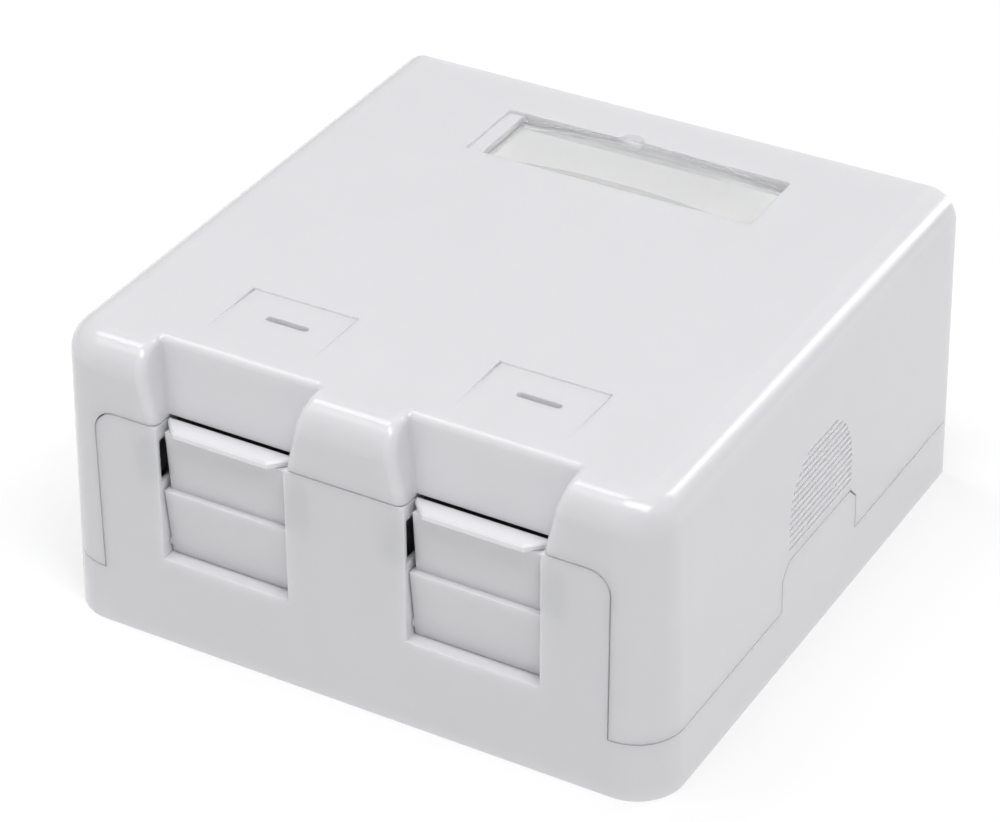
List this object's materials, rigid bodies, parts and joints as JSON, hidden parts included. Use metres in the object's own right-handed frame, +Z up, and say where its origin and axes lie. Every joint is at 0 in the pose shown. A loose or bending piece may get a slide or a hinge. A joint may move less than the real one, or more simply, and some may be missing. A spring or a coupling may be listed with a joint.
{
  "type": "surface mount jack box",
  "caption": "White two-port surface mount box with folding dust shutters, a label window, a lift-off cover and keystone jacks inside.",
  "frame": {"origin": "centre of the underside of the base", "axes": "+X to the right as seen from the ports, +Y from the ports to the back, +Z up"},
  "size_m": [0.065, 0.0636, 0.0327],
  "materials": {
    "shell_plastic": "moulded ABS, white, softly glossy",
    "clear_plastic": "clear moulded polystyrene strip",
    "label_paper": "plain uncoated paper card",
    "adhesive_foam": "white foam tape",
    "jack_plastic": "moulded ABS, black",
    "carrier_plastic": "black moulded insert",
    "contact_metal": "gold plated spring wire",
    "board": "green solder resist on a glass epoxy board",
    "terminal_plastic": "moulded polycarbonate, white",
    "blade_metal": "tin plated phosphor bronze",
    "cap_plastic": "moulded polycarbonate, grey"
  },
  "bodies": {
    "base_group": {"base": "shell_plastic", "adhesive_pad_left": "adhesive_foam", "adhesive_pad_right": "adhesive_foam", "jack_housing_left": "jack_plastic", "contact_carrier_left": "carrier_plastic", "contact_wires_left": "contact_metal", "circuit_board_left": "board", "terminal_block_left": "terminal_plastic", "terminal_blades_left": "blade_metal", "terminal_cap_upper_left": "cap_plastic", "terminal_cap_lower_left": "cap_plastic", "jack_housing_right": "jack_plastic", "contact_carrier_right": "carrier_plastic", "contact_wires_right": "contact_metal", "circuit_board_right": "board", "terminal_block_right": "terminal_plastic", "terminal_blades_right": "blade_metal", "terminal_cap_upper_right": "cap_plastic", "terminal_cap_lower_right": "cap_plastic"},
    "cover_group": {"cover": "shell_plastic", "label_card": "label_paper"},
    "window_group": {"label_window": "clear_plastic"},
    "shutter_left_group": {"shutter_left": "shell_plastic"},
    "shutter_right_group": {"shutter_right": "shell_plastic"}
  },
  "joints": [
    {"name": "cover_lift", "type": "slide", "parent": "base_group", "child": "cover_group", "axis": [0, 0, 1], "range_m": [0, 0.04]},
    {"name": "label_window_lift", "type": "slide", "parent": "cover_group", "child": "window_group", "axis": [0, 0, 1], "range_m": [0, 0.006]},
    {"name": "shutter_left_hinge", "type": "hinge", "parent": "base_group", "child": "shutter_left_group", "pos_m": [-0.0133, -0.03, 0.0109], "axis": [1, 0, 0], "range_deg": [0, 100]},
    {"name": "shutter_right_hinge", "type": "hinge", "parent": "base_group", "child": "shutter_right_group", "pos_m": [0.0133, -0.03, 0.0109], "axis": [1, 0, 0], "range_deg": [0, 100]}
  ]
}
